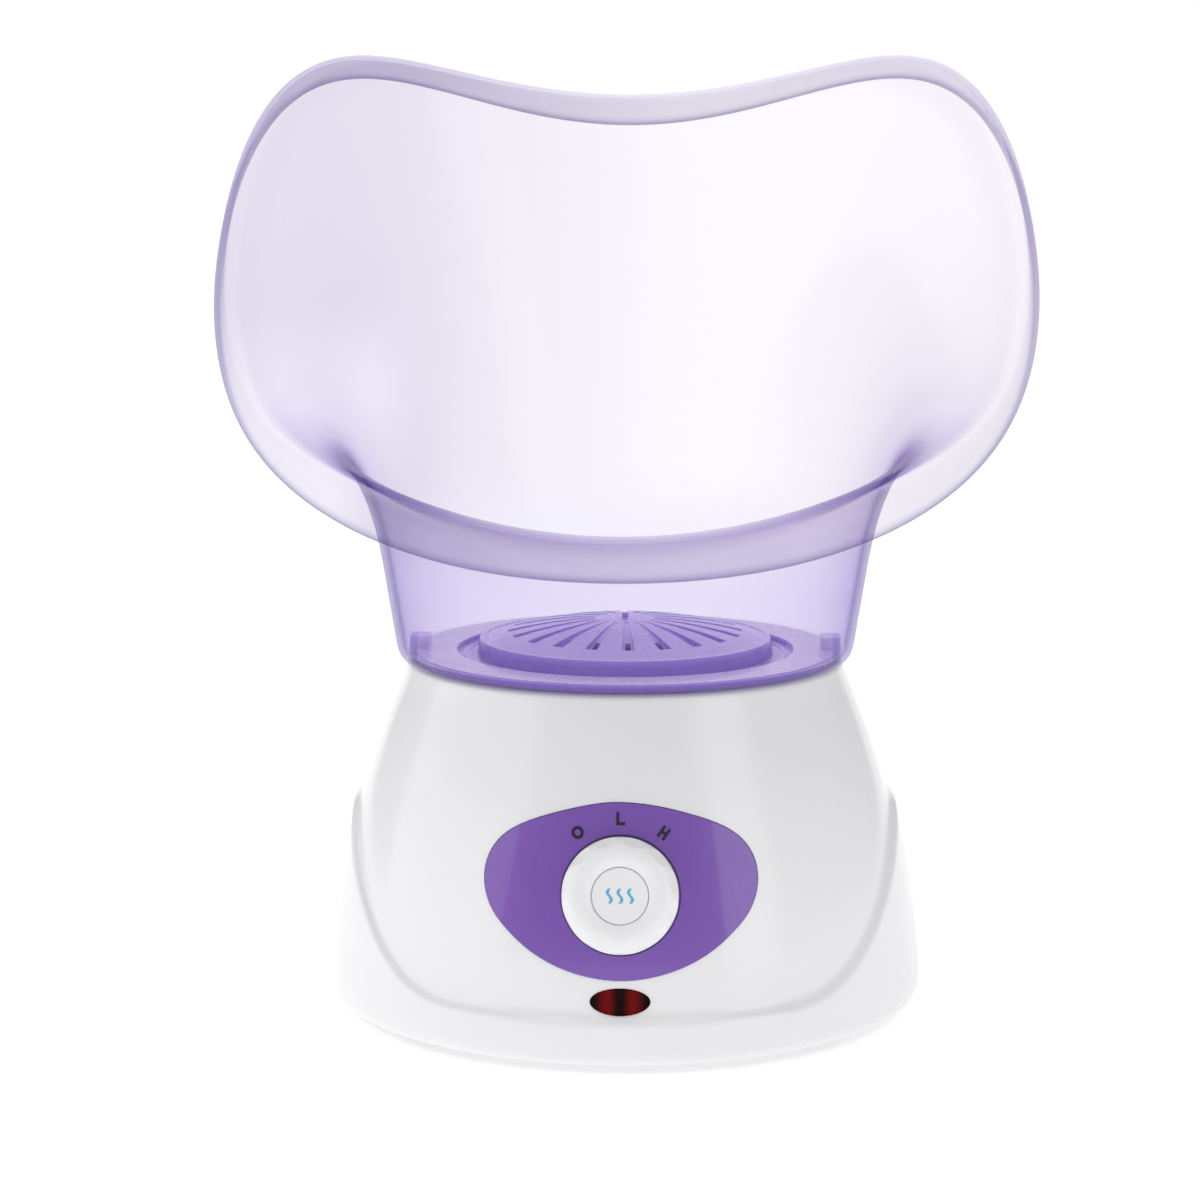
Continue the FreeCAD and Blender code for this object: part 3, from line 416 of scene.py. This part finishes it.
def make_materials():
    return {
        "white_abs": moulded_plastic("white_abs", (0.89, 0.89, 0.905), 0.22, coat=0.35,
                                     mottle=0.012),
        "white_knob": moulded_plastic("white_knob", (0.90, 0.90, 0.91), 0.28, coat=0.25,
                                      mottle=0.012),
        "white_base": moulded_plastic("white_base", (0.74, 0.74, 0.75), 0.55, grain=2500.0,
                                      grain_height=0.00008, mottle=0.03),
        "purple_gloss": moulded_plastic("purple_gloss", (0.19, 0.073, 0.44), 0.28, coat=0.8,
                                        mottle=0.02),
        "purple_plate": plate_plastic("purple_plate"),
        "lavender_clear": clear_plastic("lavender_clear", mask_tint_and_shade, (0.22, 0.16, 0.38), 0.10,
                                        1.0, (0.44, 0.31, 0.73), 80.0, coat=0.6),
        "dial_print": moulded_plastic("dial_print", (0.012, 0.003, 0.025), 0.6, mottle=0.2),
        "cap_print": moulded_plastic("cap_print", (0.10, 0.46, 0.74), 0.45, mottle=0.08),
        "red_lens": lamp_window("red_lens"),
        "black_plastic": moulded_plastic("black_plastic", (0.012, 0.012, 0.013), 0.42,
                                         grain=2000.0, grain_height=0.00006, mottle=0.3),
        "cream_plastic": moulded_plastic("cream_plastic", (0.66, 0.62, 0.50), 0.45, mottle=0.06),
        "feet_rubber": moulded_plastic("feet_rubber", (0.30, 0.30, 0.32), 0.75, grain=1800.0,
                                       grain_height=0.0001, mottle=0.15),
        "seal_silicone": moulded_plastic("seal_silicone", (0.62, 0.62, 0.60), 0.5,
                                         subsurface=0.3, mottle=0.08),
        "bowl_aluminium": metal("bowl_aluminium", (0.80, 0.81, 0.82), 0.32, brushed=True),
        "plate_aluminium": metal("plate_aluminium", (0.70, 0.71, 0.73), 0.42),
        "screw_steel": metal("screw_steel", (0.60, 0.60, 0.62), 0.30),
        "brass": metal("brass", (0.82, 0.62, 0.28), 0.28),
        "lamp_glass": clear_plastic("lamp_glass", (0.98, 0.93, 0.90), (0.9, 0.85, 0.8), 0.02,
                                    1.49, (1, 0.8, 0.7), 20.0),
        "mica": moulded_plastic("mica", (0.42, 0.33, 0.20), 0.4, mottle=0.35),
        "wire_brown": moulded_plastic("wire_brown", (0.10, 0.035, 0.012), 0.4, mottle=0.1),
        "wire_blue": moulded_plastic("wire_blue", (0.015, 0.07, 0.33), 0.4, mottle=0.1),
        "wire_white": moulded_plastic("wire_white", (0.72, 0.72, 0.69), 0.45, mottle=0.08),
    }


def dress_nodes(materials):
    for row in frame["record"]["subparts"]:
        mesh = NODES[row["node"]].data
        mesh.materials.clear()
        mesh.materials.append(materials[row["material_slot"]])


# ---------------------------------------------------------------- mask

MASK_HALF_WALL = 1.0
FLOOR_MID_Z = 93.65
HOLE_R = 56.5
# Mid-surface rings, millimetres: half width, half depth, how much wider the back is than
# the front, and the height at the front and every 30 degrees round to the back.
MASK_RINGS = [
    (HOLE_R, HOLE_R, 0.0, [FLOOR_MID_Z] * 7),
    (59.2, 59.2, 0.0, [FLOOR_MID_Z] * 7),
    (60.2, 60.2, 0.0, [FLOOR_MID_Z + 1.25] * 7),
    (60.8, 60.8, 0.0, [FLOOR_MID_Z + 5.35] * 7),
    (62.6, 62.6, 0.0, [110.0] * 7),
    (64.6, 64.8, 0.0, [121, 121, 122, 123, 123, 123, 123]),
    (66.8, 67.7, 0.0, [127, 127.6, 130, 133, 138, 140, 140]),
    (71.0, 71.7, 0.01, [130.5, 132.7, 138, 146, 160, 165, 165]),
    (78.0, 75.0, 0.03, [132.1, 135.8, 145, 162, 190, 198, 195.5]),
    (87.0, 77.5, 0.045, [133.3, 138.2, 150.5, 175, 214, 224.6, 220]),
    (96.2, 79.5, 0.055, [134.1, 140.2, 154.5, 186, 235, 241.4, 234.2]),
    (103.0, 81.5, 0.068, [134.7, 141.8, 157, 195, 246.5, 250.8, 242.6]),
    (106.9, 86.0, 0.068, [133.3, 140.2, 156.5, 197, 245.5, 250.3, 241.6]),
    (108.6, 89.5, 0.068, [125.3, 130.5, 149.5, 189, 238, 244.8, 233.4]),
]
MASK_POLES_ROUND = 36
# Depth of the rim's tint at the rows of the skin near the free edge
RIM_DEPTHS = {-1: 0.06, 0: 0.13, 1: 0.15, 2: 0.8}
KEY_NOTCH = (49.5, 58.1, 4.0)       # inner reach, outer reach and half width of a key's notch
KEY_NOTCH_Z = (88, 99)
# Extra rows that keep the two edges of the skin tight, metres along the profile
HOLE_EDGE_OUT = 0.0002
HOLE_EDGE_IN = -0.0006
FREE_EDGE_IN = -0.0012
SKIN_LEVELS = 3
SHARP_DEG = 40


def cosine_curve(stops, angle):
    """Smooth value round a ring, even about the front, through equally spaced stops."""
    last = len(stops) - 1
    value = 0.0
    for k in range(last + 1):
        term = 0.0
        for j, stop in enumerate(stops):
            weight = 0.5 if j in (0, last) else 1.0
            term += weight * stop * math.cos(k * j * math.pi / last)
        term *= (1.0 if k in (0, last) else 2.0) / last
        value += term * math.cos(k * angle)
    return value


def mask_net():
    """Control points of the mask's mid-surface, ring by ring, in metres."""
    widen = 3.0 / (2.0 + math.cos(2 * math.pi / MASK_POLES_ROUND))
    rings = []
    for half_width, half_depth, flare, heights in MASK_RINGS:
        ring = []
        for i in range(MASK_POLES_ROUND):
            angle = 2 * math.pi * i / MASK_POLES_ROUND
            x = half_width * widen * math.sin(angle) * (1 - flare * math.cos(angle))
            y = -half_depth * widen * math.cos(angle)
            ring.append(Vector((x, y, cosine_curve(heights, angle))) * MM)
        rings.append(ring)
    return rings


def net_normals(rings):
    rows = []
    for j, ring in enumerate(rings):
        below = rings[max(j - 1, 0)]
        above = rings[min(j + 1, len(rings) - 1)]
        row = []
        for i in range(len(ring)):
            round_way = ring[(i + 1) % len(ring)] - ring[i - 1]
            row.append(round_way.cross(above[i] - below[i]).normalized())
        rows.append(row)
    return rows


def make_mask(material):
    """The mask as one closed skin: outside up, round the free edge, inside down."""
    middle = mask_net()
    normals = net_normals(middle)
    half = MASK_HALF_WALL * MM

    def side(j, sign, slide=0.0):
        """A ring of the outside (+1) or inside (-1) skin, slid along the profile."""
        along = 1 if j == 0 else -1
        row = []
        for i, point in enumerate(middle[j]):
            run = (point - middle[j + along][i]).normalized()
            row.append(point + normals[j][i] * half * sign + run * slide)
        return row

    last = len(middle) - 1
    rows = [side(0, 1, HOLE_EDGE_OUT), side(0, 1, HOLE_EDGE_IN)]
    rows += [side(j, 1) for j in range(1, last)]
    rows += [side(last, 1, FREE_EDGE_IN), side(last, 1)]
    rows += [side(last, -1), side(last, -1, FREE_EDGE_IN)]
    rows += [side(j, -1) for j in range(last - 1, 0, -1)]
    rows += [side(0, -1, HOLE_EDGE_IN), side(0, -1, HOLE_EDGE_OUT)]
    mesh = bpy.data.meshes.new("mask_shell")
    count = MASK_POLES_ROUND
    points = [point for row in rows for point in row]
    faces = []
    for j in range(len(rows)):
        k = (j + 1) % len(rows)
        for i in range(count):
            n = (i + 1) % count
            faces.append((j * count + i, j * count + n, k * count + n, k * count + i))
    mesh.from_pydata(points, [], faces)
    rim = mesh.attributes.new("rim", "FLOAT", "POINT")
    for j, row in enumerate(rows):
        for i in range(count):
            rim.data[j * count + i].value = RIM_DEPTHS.get(min(j, len(rows) - 1 - j) - last, 0.0)
    shell = bpy.data.objects.new("mask_shell", mesh)
    bpy.context.scene.collection.objects.link(shell)
    mesh.materials.append(material)
    smooth = shell.modifiers.new("smooth", "SUBSURF")
    smooth.levels = SKIN_LEVELS
    smooth.render_levels = SKIN_LEVELS
    mesh.shade_smooth()
    inner, outer, half_width = KEY_NOTCH
    bottom, top = KEY_NOTCH_Z
    for sign in (-1, 1):
        low = Vector((min(sign * inner, sign * outer), -half_width, bottom)) * MM
        high = Vector((max(sign * inner, sign * outer), half_width, top)) * MM
        cut_box(shell, low, high)
    bake_modifiers(shell)
    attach(shell, "mask")
    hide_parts("face_mask")


def cut_box(piece, low, high):
    """Add a boolean that cuts a box out of a piece."""
    mesh = bpy.data.meshes.new("cutter")
    bm = bmesh.new()
    bmesh.ops.create_cube(bm, size=1.0)
    for vert in bm.verts:
        vert.co = Vector((low[a] + (high[a] - low[a]) * (vert.co[a] + 0.5) for a in range(3)))
    bm.to_mesh(mesh)
    bm.free()
    cutter = bpy.data.objects.new("cutter", mesh)
    bpy.context.scene.collection.objects.link(cutter)
    cut = piece.modifiers.new("cut", "BOOLEAN")
    cut.object = cutter
    cut.operation = "DIFFERENCE"
    cut.solver = "EXACT"


def bake_modifiers(piece):
    """Replace a piece's mesh by what its modifiers make of it, and drop the cutters.

    Sharp edges stay sharp, so the cut faces don't shade into the skin round them.
    """
    depsgraph = bpy.context.evaluated_depsgraph_get()
    mesh = bpy.data.meshes.new_from_object(piece.evaluated_get(depsgraph))
    cutters = [m.object for m in piece.modifiers if m.type == "BOOLEAN"]
    piece.modifiers.clear()
    mesh.set_sharp_from_angle(angle=math.radians(SHARP_DEG))
    piece.data = mesh
    for cutter in cutters:
        bpy.data.objects.remove(cutter)


# ---------------------------------------------------------------- build

make_camera()
make_world(WORLD_STRENGTH)
make_stage()
for light in LIGHTS:
    make_light(*light)

MATERIALS = make_materials()
dress_nodes(MATERIALS)
make_mask(MATERIALS["lavender_clear"])

scene = bpy.context.scene
scene.view_settings.view_transform = "Standard"
scene.view_settings.look = "None"
